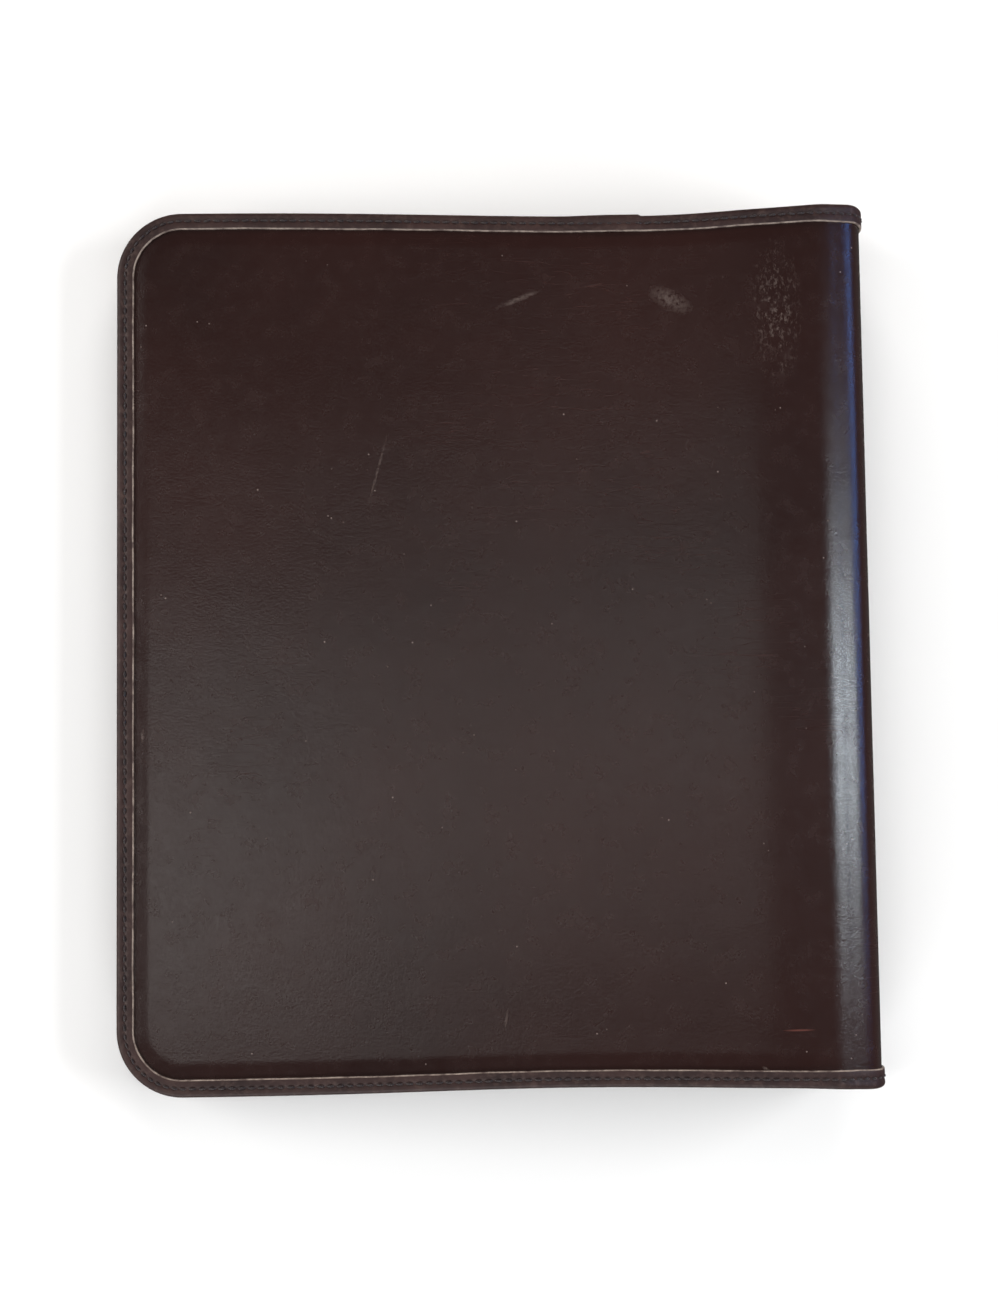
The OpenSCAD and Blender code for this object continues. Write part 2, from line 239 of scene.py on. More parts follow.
# quads of a closed section carried through the stations, with a cap at each end
def sweptFaces(stations, corners):
    faces = [list(f) for f in gridFaces(stations, corners, closed=True)]
    last = (stations - 1) * corners
    return faces + [list(range(corners))[::-1], list(range(last, last + corners))]


# smooth wandering value about 0: the mean of five seeded sine waves of about that length
def wave(x, y, seed, length):
    random = np.random.default_rng(seed)
    total = 0
    for turn, size, phase in zip(
        random.uniform(0, math.pi, 5), random.uniform(0.6, 1.6, 5), random.uniform(0, 6.28, 5)
    ):
        total = total + np.sin(
            (x * np.cos(turn) + y * np.sin(turn)) * 2 * math.pi / (length * size) + phase
        )
    return total / 5


# display values from 0 to 255 turned into the linear values that shaders take
def srgb(*values):
    v = np.array(values) / 255
    return (*np.where(v <= 0.04045, v / 12.92, ((v + 0.055) / 1.055) ** 2.4), 1.0)


# short calls for building one material's nodes
class Shading:
    # an empty material of that name, with the place on the object at hand
    def __init__(self, name):
        self.material = bpy.data.materials.new(name)
        self.material.use_nodes = True
        self.tree = self.material.node_tree
        self.shader = self.tree.nodes["Principled BSDF"]
        self.place = self.node("ShaderNodeTexCoord").outputs["Object"]

    # a node whose inputs are linked where a socket is given and set where a value is
    def node(self, kind, inputs=None, **settings):
        made = self.tree.nodes.new(kind)
        for key, value in settings.items():
            setattr(made, key, value)
        for key, value in (inputs or {}).items():
            if isinstance(value, bpy.types.NodeSocket):
                self.tree.links.new(value, made.inputs[key])
            else:
                made.inputs[key].default_value = value
        return made

    # fractal noise of so many lumps to a metre, from 0 to 1
    def noise(self, scale, detail=3, rough=0.5, place=None, distortion=0):
        return self.node("ShaderNodeTexNoise", {
            "Vector": place or self.place, "Scale": scale, "Detail": detail,
            "Roughness": rough, "Distortion": distortion,
        }).outputs["Fac"]

    # distance to the nearest of scattered points
    def cells(self, scale, place=None):
        return self.node("ShaderNodeTexVoronoi", {
            "Vector": place or self.place, "Scale": scale,
        }, feature="F1").outputs["Distance"]

    # low..high carried to toLow..toHigh in a straight line, and held beyond both
    def range(self, value, low, high, toLow=0.0, toHigh=1.0):
        return self.node("ShaderNodeMapRange", {
            "Value": value, "From Min": low, "From Max": high, "To Min": toLow, "To Max": toHigh,
        }, clamp=True).outputs["Result"]

    # a and b joined by the named operation
    def math(self, kind, a, b=0.0):
        return self.node("ShaderNodeMath", {0: a, 1: b}, operation=kind).outputs[0]

    # (1 - factor) a + factor b, on colours
    def mix(self, factor, a, b):
        return self.node("ShaderNodeMix", {0: factor, 6: a, 7: b}, data_type="RGBA",
                         blend_type="MIX").outputs[2]

    # object coordinates moved, turned and scaled
    def stretched(self, scale, turn=(0, 0, 0), shift=(0, 0, 0)):
        return self.node("ShaderNodeMapping", {
            "Vector": self.place, "Scale": scale, "Rotation": turn, "Location": shift,
        }).outputs["Vector"]

    # 1 at a place on the object, falling to 0 at a turned ellipsoid round it
    def near(self, centre, radii, turn=0.0, inner=0.3):
        local = self.node("ShaderNodeMapping", {
            "Vector": self.place, "Location": centre, "Rotation": (0, 0, turn), "Scale": radii,
        }, vector_type="TEXTURE").outputs["Vector"]
        length = self.node("ShaderNodeVectorMath", {0: local}, operation="LENGTH")
        return self.range(length.outputs["Value"], inner, 1.0, 1.0, 0.0)

    # the normal tilted by the slope of height, on top of the one under it
    def bump(self, height, strength, distance, under=None):
        inputs = {"Height": height, "Strength": strength, "Distance": distance}
        if under:
            inputs["Normal"] = under
        return self.node("ShaderNodeBump", inputs).outputs["Normal"]

    # sockets are linked to the shader and plain values set on it
    def finish(self, color=None, roughness=None, normal=None, **fixed):
        for key, value in (("Base Color", color), ("Roughness", roughness), ("Normal", normal)):
            if isinstance(value, bpy.types.NodeSocket):
                self.tree.links.new(value, self.shader.inputs[key])
            elif value is not None:
                self.shader.inputs[key].default_value = value
        for key, value in fixed.items():
            self.shader.inputs[key].default_value = value
        return self.material


coverLook = {
    "deep": srgb(29, 13, 11), "plain": srgb(43, 22, 19), "worn": srgb(56, 36, 32),
    "speck": srgb(150, 135, 128), "scratch": srgb(110, 64, 56),
    "rough": (0.22, 0.30), "grainCell": 1250, "poreScale": 2600,
    # centre and radii in metres of the scuffed patch and of the reddish scratch
    "patch": ((0.095, 0.113, 0.040), (0.010, 0.028, 0.05)),
    "redMark": ((0.097, -0.131, 0.04), (0.006, 0.0004, 0.05)),
}
wornMarks = [  # centre, radii, turn, strength
    ((0.007, 0.118, 0.036), (0.0085, 0.0011, 0.05), 0.36, 0.30),
    ((0.059, 0.117, 0.036), (0.009, 0.004, 0.05), -0.5, 0.22),
    ((-0.041, 0.060, 0.03), (0.0135, 0.0005, 0.05), 1.3, 0.22),
    ((0.086, -0.144, 0.04), (0.0022, 0.0007, 0.05), -0.7, 0.5),
    ((0.0, -0.126, 0.035), (0.0045, 0.0005, 0.05), 1.4, 0.2),
    ((-0.121, -0.03, 0.03), (0.003, 0.0006, 0.05), 1.5, 0.3),
]


# dark brown smooth leather: broad clouds of tone, a fine pebble grain with pores, faint
# drag scratches, pale specks and a scuffed patch near the spine at the head
def coverLeather():
    s = Shading("coverLeather")
    look = coverLook
    cloud = s.noise(9, 4, 0.55)
    tone = s.mix(s.range(cloud, 0.3, 0.7), look["deep"], look["plain"])
    mottle = s.noise(170, 5, 0.65)
    tone = s.mix(s.range(mottle, 0.5, 0.85, 0, 0.25), tone, look["worn"])
    grain = s.cells(look["grainCell"], s.stretched((1, 0.85, 1), (0, 0, 0.4)))
    fine = s.noise(look["poreScale"], 3, 0.7)
    tone = s.mix(s.range(fine, 0.35, 0.65, 0.0, 0.4), tone, look["deep"])
    # drag marks: long thin bands of stretched noise, kept only where a broad noise allows
    drag = s.noise(24, 2, 0.4, s.stretched((1.2, 16, 1), (0, 0, 0.35)), 0.4)
    line = s.range(s.math("ABSOLUTE", s.math("SUBTRACT", drag, 0.5)), 0.0, 0.004, 1, 0)
    allow = s.range(s.noise(16, 2, 0.5, s.stretched((1, 1, 1), (0, 0, 0), (3, 1, 0))),
                    0.56, 0.66)
    scratches = s.math("MULTIPLY", line, allow)
    tone = s.mix(s.math("MULTIPLY", scratches, 0.12), tone, look["scratch"])
    # pale specks all over, denser in the scuffed patch
    dots = s.range(s.cells(330), 0.05, 0.11, 1, 0)
    chosen = s.range(s.noise(120, 1, 0.5), 0.66, 0.70)
    patch = s.near(*look["patch"], inner=0.0)
    broken = s.range(s.noise(560, 5, 0.8, s.stretched((1.6, 0.8, 1))), 0.53, 0.64)
    specks = s.math("MAXIMUM", s.math("MULTIPLY", dots, chosen),
                    s.math("MULTIPLY", s.math("MULTIPLY", patch, broken), 0.5))
    tone = s.mix(s.math("MULTIPLY", specks, 0.7), tone, look["speck"])
    # marks with a place of their own
    frayed = s.range(s.noise(700, 4, 0.75), 0.38, 0.62)
    for centre, radii, turn, strength in wornMarks:
        mark = s.math("MULTIPLY", s.near(centre, radii, turn), frayed)
        tone = s.mix(s.math("MULTIPLY", mark, strength), tone, look["speck"])
    red = s.near(*look["redMark"])
    tone = s.mix(s.math("MULTIPLY", red, 0.6), tone, look["scratch"])
    rough = s.math("ADD", s.range(mottle, 0.3, 0.75, *look["rough"]),
                   s.math("MULTIPLY", s.math("MAXIMUM", scratches, specks), 0.15))
    normal = s.bump(s.noise(55, 3, 0.5), 0.12, 0.0006)
    normal = s.bump(s.range(grain, 0.0, 0.6), 0.30, 0.00009, normal)
    normal = s.bump(fine, 0.65, 0.00006, normal)
    normal = s.bump(scratches, 0.15, -0.00005, normal)
    return s.finish(tone, rough, normal, **{"Specular IOR Level": 0.5})


tapeLook = {"deep": srgb(34, 18, 16), "plain": srgb(54, 35, 32), "worn": srgb(84, 66, 60)}


# thinner leather folded over the edge: dry and matte, rubbed paler in patches
def tapeLeather():
    s = Shading("tapeLeather")
    tone = s.mix(s.range(s.noise(60, 4, 0.6), 0.3, 0.7), tapeLook["deep"], tapeLook["plain"])
    rub = s.range(s.noise(420, 5, 0.75), 0.5, 0.75, 0, 0.6)
    tone = s.mix(rub, tone, tapeLook["worn"])
    grain = s.cells(1500)
    fine = s.noise(2300, 3, 0.7)
    normal = s.bump(s.noise(230, 3, 0.6), 0.5, 0.00025)
    normal = s.bump(s.range(grain, 0, 0.6), 0.3, 0.00008, normal)
    normal = s.bump(fine, 0.5, 0.00006, normal)
    return s.finish(tone, s.range(rub, 0, 0.6, 0.62, 0.5), normal, **{"Specular IOR Level": 0.4})


# cut edge of the tape, where the pale fibre shows, broken by dye
def rawEdge():
    s = Shading("rawEdge")
    tone = s.mix(s.range(s.noise(240, 4, 0.7), 0.38, 0.62), srgb(84, 70, 65), srgb(152, 138, 128))
    normal = s.bump(s.noise(3000, 4, 0.8), 0.6, 0.0001)
    return s.finish(tone, 0.8, normal)


# waxed dark thread, two plies twisted: slanting bands across the stitch
def threadFibre():
    s = Shading("threadFibre")
    twist = s.node("ShaderNodeTexWave", {
        "Vector": s.stretched((1, 1, 1), (0, 0, 0.7)), "Scale": 700.0, "Distortion": 1.0,
        "Detail": 1.0,
    }, bands_direction="DIAGONAL").outputs["Fac"]
    tone = s.mix(s.range(twist, 0.2, 0.8), srgb(10, 4, 5), srgb(40, 18, 18))
    return s.finish(tone, 0.55, s.bump(twist, 0.5, 0.0001), **{"Sheen Weight": 0.2})


# lining and pocket leather: even brown with a rounder grain and a dry finish
def innerLeather(name, deep, plain, cell, rough):
    s = Shading(name)
    tone = s.mix(s.range(s.noise(22, 4, 0.55), 0.3, 0.7), deep, plain)
    tone = s.mix(s.range(s.noise(650, 4, 0.7), 0.4, 0.7, 0, 0.4), tone, deep)
    grain = s.range(s.cells(cell), 0.0, 0.6)
    normal = s.bump(s.noise(60, 3, 0.5), 0.3, 0.0005)
    normal = s.bump(grain, 0.45, 0.00012, normal)
    normal = s.bump(s.noise(3000, 2, 0.6), 0.35, 0.00005, normal)
    return s.finish(tone, s.range(grain, 0, 1, rough + 0.08, rough - 0.05), normal)


# nickel-plated steel: faint drawn lines along its length and small handling marks
def platedSteel(name, rough):
    s = Shading(name)
    lines = s.noise(900, 3, 0.6, s.stretched((1, 0.03, 1)))
    marks = s.range(s.noise(190, 4, 0.7), 0.52, 0.72)
    tone = s.mix(marks, srgb(205, 205, 208), srgb(168, 166, 165))
    value = s.math("ADD", s.range(lines, 0.3, 0.7, rough, rough + 0.1),
                   s.math("MULTIPLY", marks, 0.1))
    return s.finish(tone, value, s.bump(lines, 0.12, 0.00004), Metallic=1.0)


# grey paperboard with flecks
def greyBoard():
    s = Shading("greyBoard")
    tone = s.mix(s.noise(500, 5, 0.8), srgb(120, 114, 104), srgb(158, 152, 140))
    return s.finish(tone, 0.9, s.bump(s.noise(900, 4, 0.7), 0.4, 0.0001))


# open-celled padding
def foamCells():
    s = Shading("foamCells")
    cell = s.cells(900)
    tone = s.mix(s.range(cell, 0, 0.6), srgb(180, 176, 164), srgb(222, 219, 208))
    return s.finish(tone, 0.95, s.bump(cell, 0.7, 0.0003))


looks = {
    "cover": coverLeather(), "tape": tapeLeather(), "edge": rawEdge(), "thread": threadFibre(),
    "lining": innerLeather("liningLeather", srgb(52, 36, 31), srgb(62, 44, 38), 1000, 0.62),
    "pocket": innerLeather("pocketLeather", srgb(64, 44, 37), srgb(76, 54, 45), 1150, 0.55),
    "steel": platedSteel("platedSteel", 0.26), "rivet": platedSteel("rivetSteel", 0.3),
    "board": greyBoard(), "foam": foamCells(),
}
nodeLooks = {  # the look that each of the record's material slots takes
    "ring_steel": "steel", "rivet_steel": "rivet", "board": "board", "foam": "foam",
    "lining_leather": "lining", "cover_leather": "cover", "binding_leather": "tape",
    "thread": "thread", "pocket_leather": "pocket",
}
for entry in frame["record"]["subparts"]:
    node = frame["nodes"][entry["node"]]
    for place in node.material_slots:
        place.material = looks[nodeLooks[entry["material_slot"]]]
print("materials ready:", len(looks))


# rows along u and columns across y, closer together at the outline and round the spine;
# round the free corners u = end - r + r sin(angle)
def gridOf(sheet, uStart, inset, edgeStep=0.7, midStep=4.5):
    end = sheet.uFree - inset
    r = cover["cornerRadius"] - inset
    marks, steps = [uStart], []
    for mark, step in ((sheet.uCurve, 2.5), (sheet.uFlat + 6, 1.2), (sheet.uFlat + 22, 2.0),
                       (end - r - 2, midStep)):
        if mark > marks[-1] + 0.5 and mark < end:
            marks.append(mark)
            steps.append(step)
    turn = np.linspace(0, math.pi / 2, int(44 * 0.7 / edgeStep))
    corner = end - r + r * np.sin(turn)
    rows = np.unique(np.concatenate([spread(marks, steps), corner]).round(6))
    top = halfHeight - inset
    side = spread([0, 15, top, 2 * top - 15, 2 * top], [edgeStep, midStep, midStep, edgeStep])
    return rows[:, None], (side / top - 1)[None, :]


# a slab of the cover: y = across * half height at u, at two depths given by (u, y, d)
def coverSlab(name, sheet, uStart, inset, outerDepth, innerDepth, material, **grid):
    u, across = gridOf(sheet, uStart, inset, **grid)
    y = across * sheet.halfAt(u, inset)
    u = u + 0 * y
    d = sheet.edgeDistance(u, y)
    points, faces = closedSheet(
        sheet.place(u, y, outerDepth(u, y, d)), sheet.place(u, y, innerDepth(u, y, d))
    )
    return makePiece(name, points, faces, [material])


foldBlend = {"spineX": 123.5, "spineZ": 33.5, "coverX": 113.0, "coverZ": 44.0}


# bakes the piece's transform into its mesh; the fold's spine and cover heights are worked out but nothing uses
# them
def blendAcross(piece, sheet):
    low, high = foldBlend["spineZ"], foldBlend["coverZ"]
    if sheet.mirrored:
        low, high = closedThickness - low, closedThickness - high
    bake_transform(piece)


padRise = {"start": 4.4, "end": 12.0, "swell": 0.16, "ripple": 0.05, "top": 0.3}


# depth of the outer face: low under the tape and round the spine, raised on the padding
def outerFace(sheet):
    def depth(u, y, d):
        onPad = smoothStep(d, padRise["start"], padRise["end"])
        onPad = onPad * smoothStep(u, sheet.uFlat - 9, sheet.uAt(86))
        swell = padRise["swell"] * wave(u, y, 11, 95) + padRise["ripple"] * wave(u, y, 5, 23)
        rise = (stack["flange"] - padRise["top"]) * onPad
        return stack["flange"] - rise + stack["clear"] + (swell + 0.02) * (0.25 + 0.75 * onPad)
    return depth


# the lining climbs onto the boards between these distances in from the edge, between these x on
# a cover, and between these u on the spine
liningStep = {"edge": (6.4, 8.2), "cover": (104.5, 100.8), "spine": (13.6, 12.3)}


# depth of the lining's inner face: the flange level, stepping to the board's and to the
# spine board's
def liningFace(sheet):
    first, last = [sheet.uAt(x) for x in liningStep["cover"]]
    far, near = liningStep["spine"]

    def depth(u, y, d):
        inside = smoothStep(d, *liningStep["edge"])
        onBoard = inside * smoothStep(u, first, last)
        onSpine = inside * smoothStep(-u, -far, -near)
        flange = stack["liningFlange"]
        return (flange + (stack["innerFace"] - flange) * onBoard
                + (stack["spineLining"] - flange) * onSpine)
    return depth


for sheet in sheets.values():
    name = sheet.name
    face, back = outerFace(sheet), liningFace(sheet)
    leather = coverSlab(name + "_outer", sheet, 0, 1.2, face,
                        lambda u, y, d: face(u, y, d) + stack["leatherThick"], looks["cover"])
    blendAcross(leather, sheet)
    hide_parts(name + "_leather")
    lining = coverSlab(name + "_inner", sheet, 0, 1.4,
                       lambda u, y, d: back(u, y, d) - stack["liningThick"], back,
                       looks["lining"], edgeStep=1.0, midStep=7)
    blendAcross(lining, sheet)
    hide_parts(name + "_lining")
    boardStart = sheet.uAt(cover["panelEnd"])
    board = coverSlab(name + "_stiffener", sheet, boardStart, cover["coreInset"],
                      lambda u, y, d: stack["boardLow"] + 0.05 + 0 * d,
                      lambda u, y, d: stack["boardHigh"] - 0.05 + 0 * d, looks["board"],
                      edgeStep=3, midStep=12)
    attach(board, sheet.body)
    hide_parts(name + "_board")
    foam = coverSlab(name + "_padding", sheet, boardStart, cover["coreInset"],
                     lambda u, y, d: np.minimum(face(u, y, d) + 1.15, stack["boardLow"] - 0.1),
                     lambda u, y, d: stack["boardLow"] + 0 * d, looks["foam"],
                     edgeStep=1.5, midStep=8)
    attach(foam, sheet.body)
    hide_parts(name + "_foam")
    print("cover layers made:", name, len(leather.data.polygons))


spinePad = {"gap": 0.18, "rounding": 0.5, "roundOver": 5, "thinnest": 0.15}


# the spine's pad: its outer face lies just under the leather, x(z) read off the leather's
# inner face, and its inner face stays on the spine board
def spinePadding():
    low, high = [np.array(corner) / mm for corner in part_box("spine_pad")]
    z = np.linspace(low[2], high[2], 25)[:, None]
    y = spread([low[1], low[1] + 6, high[1] - 6, high[1]], [1, 8, 1])[None, :]
    outer = 0 * y + 0 * z + high[0]
    for sheet, here in ((sheets["back"], z >= closedThickness / 2),
                        (sheets["front"], z < closedThickness / 2)):
        u = np.linspace(0, sheet.uHinge + 8, 60)
        depth = stack["leather"] + stack["clear"] + spinePad["gap"] + stack["leatherThick"]
        under = sheet.place(u, 0 * u, depth) / mm
        order = np.argsort(under[:, 2])
        limit = np.interp(z[:, 0], under[order, 2], under[order, 0])[:, None]
        outer = np.where(here, np.minimum(outer, limit), outer)
    edge = np.minimum(y - low[1], high[1] - y)
    falling = 1 - smoothStep(edge, 0, spinePad["roundOver"])
    outer = outer - 0.05 - spinePad["rounding"] * falling
    grid = np.stack(np.broadcast_arrays(outer, y, z), -1) * mm
    inner = np.minimum(low[0], outer - spinePad["thinnest"])
    flat = np.stack(np.broadcast_arrays(inner, y, z), -1) * mm
    points, faces = closedSheet(grid, flat)
    pad = makePiece("spine_padding", points, faces, [looks["foam"]])
    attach(pad, "spine")
    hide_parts("spine_pad")


spinePadding()


# points (u, y) and inward normals along head edge, free edge and foot edge
def tapePath(sheet, step):
    r = cover["cornerRadius"]
    straight, drop = sheet.uFree - r, halfHeight - r
    lengths = [straight, r * math.pi / 2, 2 * drop, r * math.pi / 2, straight]
    total = sum(lengths)
    s = np.linspace(0, total, int(round(total / step)) + 1)
    ends = np.cumsum(lengths)
    turnOne = np.clip((s - ends[0]) / r, 0, math.pi / 2)
    turnTwo = np.clip((s - ends[2]) / r, 0, math.pi / 2)
    angle = math.pi / 2 - turnOne - turnTwo  # direction of the outward normal
    out = np.stack([np.cos(angle), np.sin(angle)], -1)
    u = np.minimum(s, straight) - np.maximum(s - ends[3], 0)
    y = drop - np.clip(s - ends[1], 0, 2 * drop)
    return s, np.stack([u, y], -1) + r * out, -out


tapeParts = {
    "foldReach": 1.5, "cut": 0.4, "groove": 0.24, "pinch": 0.2, "grooveWidth": 0.55,
    "wander": 0.18, "fray": 0.07, "puff": 0.05, "proud": 0.8,
    "lap": 0.42, "lapX": 49.0,  # the strip's two ends lap here on the back cover's head edge
}


# the folded strip's outline as rows of (distance in, depth, 1 on a raw cut edge): outer face,
# fold as half an ellipse, inner face, and back along the inside
def tapeSection():
    top, bottom, w = stack["tapeOut"], stack["tapeIn"], cover["tapeWidth"]
    mid, half, reach = (top + bottom) / 2, (bottom - top) / 2, tapeParts["foldReach"]
    cut = w - tapeParts["cut"]
    rows = [(w - 0.1, 1.28, 1), (w, 1.05, 1), (w - 0.12, 0.62, 1), (cut, top + 0.03, 0)]
    rows += [(e, top, 0) for e in (5.0, 4.4, 3.9, 3.5, 3.2, 3.0, 2.8, 2.5, 2.1)]
    rows += [(reach * (1 - math.sin(a)), mid - half * math.cos(a), 0)
             for a in np.linspace(0, math.pi, 13)]
    rows += [(e, bottom, 0) for e in (2.3, 2.8, 3.0, 3.2, 3.7, 4.6)]
    rows += [(cut, bottom - 0.03, 1), (w - 0.12, 4.0, 1), (w - 0.1, 3.55, 0)]
    rows += [(3.0, 3.55, 0), (1.4, 3.3, 0), (1.0, mid, 0), (1.4, 1.5, 0), (3.0, 1.28, 0)]
    return np.array(rows)


# the section carried along the edge: each point lies e in from the outline at its depth
def tapeStrip(sheet, s, path, inward):
    section = tapeSection()
    level = section[None, :, 1]
    e = section[None, :, 0] + 0 * s[:, None]
    depth = level + 0 * e
    outside = level < (stack["tapeOut"] + stack["tapeIn"]) / 2
    sign = np.where(outside, 1.0, -1.0)
    # groove along the seam, deeper under the middle of every stitch: a bell across, a cosine along
    bell = np.exp(-((e - cover["stitchInset"]) / tapeParts["grooveWidth"]) ** 2)
    holes = 0.5 - 0.5 * np.cos(2 * math.pi * (s[:, None] / cover["stitchPitch"] + 0.5))
    onOuter = np.abs(level - stack["tapeOut"]) < 0.05
    onFace = onOuter | (np.abs(level - stack["tapeIn"]) < 0.05)
    depth = depth + sign * onFace * bell * (tapeParts["groove"] + tapeParts["pinch"] * (1 - holes))
    # hand-cut edges wander a little, and both faces rise and fall slowly along the strip
    wander = tapeParts["wander"] * wave(s, 0, 3 + len(sheet.name), 38)
    wander = wander + tapeParts["fray"] * wave(s, 0, 9, 9)
    e = e + wander[:, None] * smoothStep(e, 3.4, 5.4) * np.where(outside, 1, -0.7)
    depth = depth - sign * onFace * tapeParts["puff"] * wave(s, 0, 21, 17)[:, None]
    if sheet.name == "back":
        lapAt = sheet.uAt(tapeParts["lapX"])
        lap = smoothStep(path[:, 0], lapAt - 0.5, lapAt)
        lap = lap * (1 - smoothStep(path[:, 0], lapAt + 9, lapAt + 30))
        lap = lap * (path[:, 1] > 0) * tapeParts["lap"]
        depth = depth - sign * lap[:, None] * (1 - 0.5 * smoothStep(e, 3, 6))
        e = e - lap[:, None] * (1 - smoothStep(e, 0.2, 2.5))
    # at the ends of the spine the strip stands a little proud
    atSpine = 1 - smoothStep(path[:, 0], sheet.uCurve + 12, sheet.uFlat + 18)
    e = e - tapeParts["proud"] * atSpine[:, None] * (1 - smoothStep(e, 1.5, 5.0))
    points = sheet.place(path[:, None, 0] + inward[:, None, 0] * e,
                         path[:, None, 1] + inward[:, None, 1] * e, depth)
    raw = section[:, 2].astype(int)
    faceMaterial = np.append(np.tile(raw, len(s) - 1), [0, 0])
    return makePiece(sheet.name + "_tape", points, sweptFaces(len(s), len(section)),
                     [looks["tape"], looks["edge"]], faceMaterial, 50)


# a stitch is a capsule: six rings of six points, its radius times fat, its ends sunk by
# sag |2a|^3 where a runs from -0.5 to 0.5 along it
stitchShape = {
    "rings": 6, "sides": 6, "fat": (0.35, 0.85, 1.0, 1.0, 0.85, 0.35), "sag": 0.28,
    "tapeLength": 2.5, "tapeRadius": 0.34, "tilt": 0.06, "seamLength": 2.4, "seamRadius": 0.3,
}


# faces of that many capsules: those of one, moved on by its number of points each time
def capsuleFaces(count):
    rings, sides = stitchShape["rings"], stitchShape["sides"]
    step = (np.arange(count) * rings * sides)[:, None, None]
    quads = gridFaces(rings, sides, closed=True) + step
    caps = np.stack([np.arange(sides)[::-1], np.arange(sides) + (rings - 1) * sides]) + step
    return quads.reshape(-1, 4).tolist() + caps.reshape(-1, sides).tolist()


# capsules every pitch along the path on both faces of the tape, each tilted a little:
# stitchInset + tilt a + r(a) cos t in from the edge, and r(a) sin t off the face
def tapeStitches(sheet, s, path, inward):
    middles = np.arange(cover["stitchPitch"] / 2, s[-1], cover["stitchPitch"])
    along = np.linspace(-0.5, 0.5, stitchShape["rings"])
    fat = stitchShape["tapeRadius"] * np.array(stitchShape["fat"])
    sag = stitchShape["sag"] * (2 * np.abs(along)) ** 3
    a = np.arange(stitchShape["sides"]) * 2 * math.pi / stitchShape["sides"]
    length = stitchShape["tapeLength"]
    tilt = np.random.default_rng(17).normal(0, stitchShape["tilt"], len(middles))
    at = middles[:, None] + along[None, :] * length
    base = np.stack([np.interp(at, s, path[:, k]) for k in (0, 1)], -1)
    into = np.stack([np.interp(at, s, inward[:, k]) for k in (0, 1)], -1)
    into /= np.linalg.norm(into, axis=-1, keepdims=True)
    shift = cover["stitchInset"] + tilt[:, None] * along * length
    e = shift[..., None] + fat[None, :, None] * np.cos(a)
    points = []
    for level, side in ((stack["tapeOut"] + 0.02, -1), (stack["tapeIn"] - 0.02, 1)):
        depth = level - side * sag[None, :, None] + fat[None, :, None] * np.sin(a) + 0 * e
        grid = sheet.place(base[..., None, 0] + into[..., None, 0] * e,
                           base[..., None, 1] + into[..., None, 1] * e, depth)
        points.append(grid.reshape(-1, 3))
    return makePiece(sheet.name + "_thread", np.concatenate(points),
                     capsuleFaces(2 * len(middles)), [looks["thread"]], sharp=80)


for sheet in sheets.values():
    s, path, inward = tapePath(sheet, cover["stitchPitch"] / 4)
    tape = tapeStrip(sheet, s, path, inward)
    blendAcross(tape, sheet)
    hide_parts(sheet.name + "_binding")
    stitches = tapeStitches(sheet, s, path, inward)
    blendAcross(stitches, sheet)
    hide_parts(sheet.name + "_stitching")
    print("tape and stitches made:", sheet.name, len(s))

# both halves of the tape, thread, leather and lining run on round the spine
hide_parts("spine_binding_head", "spine_binding_foot")
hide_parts("spine_stitching")
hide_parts("spine_leather")
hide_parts("spine_lining")


# stitches as little capsules: centre + a along + r(a)(side cos t + up sin t), ends sunk
def capsules(name, centre, along, up):
    along = along / np.linalg.norm(along, axis=-1, keepdims=True)
    up = up / np.linalg.norm(up, axis=-1, keepdims=True)
    side = np.cross(along, up)
    a = np.linspace(-0.5, 0.5, stitchShape["rings"])
    fat = stitchShape["seamRadius"] * np.array(stitchShape["fat"])
    t = np.arange(stitchShape["sides"]) * 2 * math.pi / stitchShape["sides"]
    sag = stitchShape["sag"] * (2 * np.abs(a)) ** 3
    lift = (fat[:, None] * np.sin(t) - sag[:, None])[None, :, :, None]
    stretch = (a * stitchShape["seamLength"] * mm)[:, None, None]
    points = (centre[:, None, None] + along[:, None, None] * stretch
              + side[:, None, None] * (fat[:, None] * np.cos(t) * mm)[None, :, :, None]
              + up[:, None, None] * lift * mm)
    return makePiece(name, points, capsuleFaces(len(centre)), [looks["thread"]], sharp=80)


# a run of stitches on the inside of a cover, along points (u, y) at a depth
def seam(name, sheet, u, y, depth):
    centre = sheet.place(u, y, depth)
    up = sheet.place(u, y, depth + 1) - centre
    stitches = capsules(name, centre, np.gradient(centre, axis=0), up)
    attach(stitches, sheet.body)
    return stitches


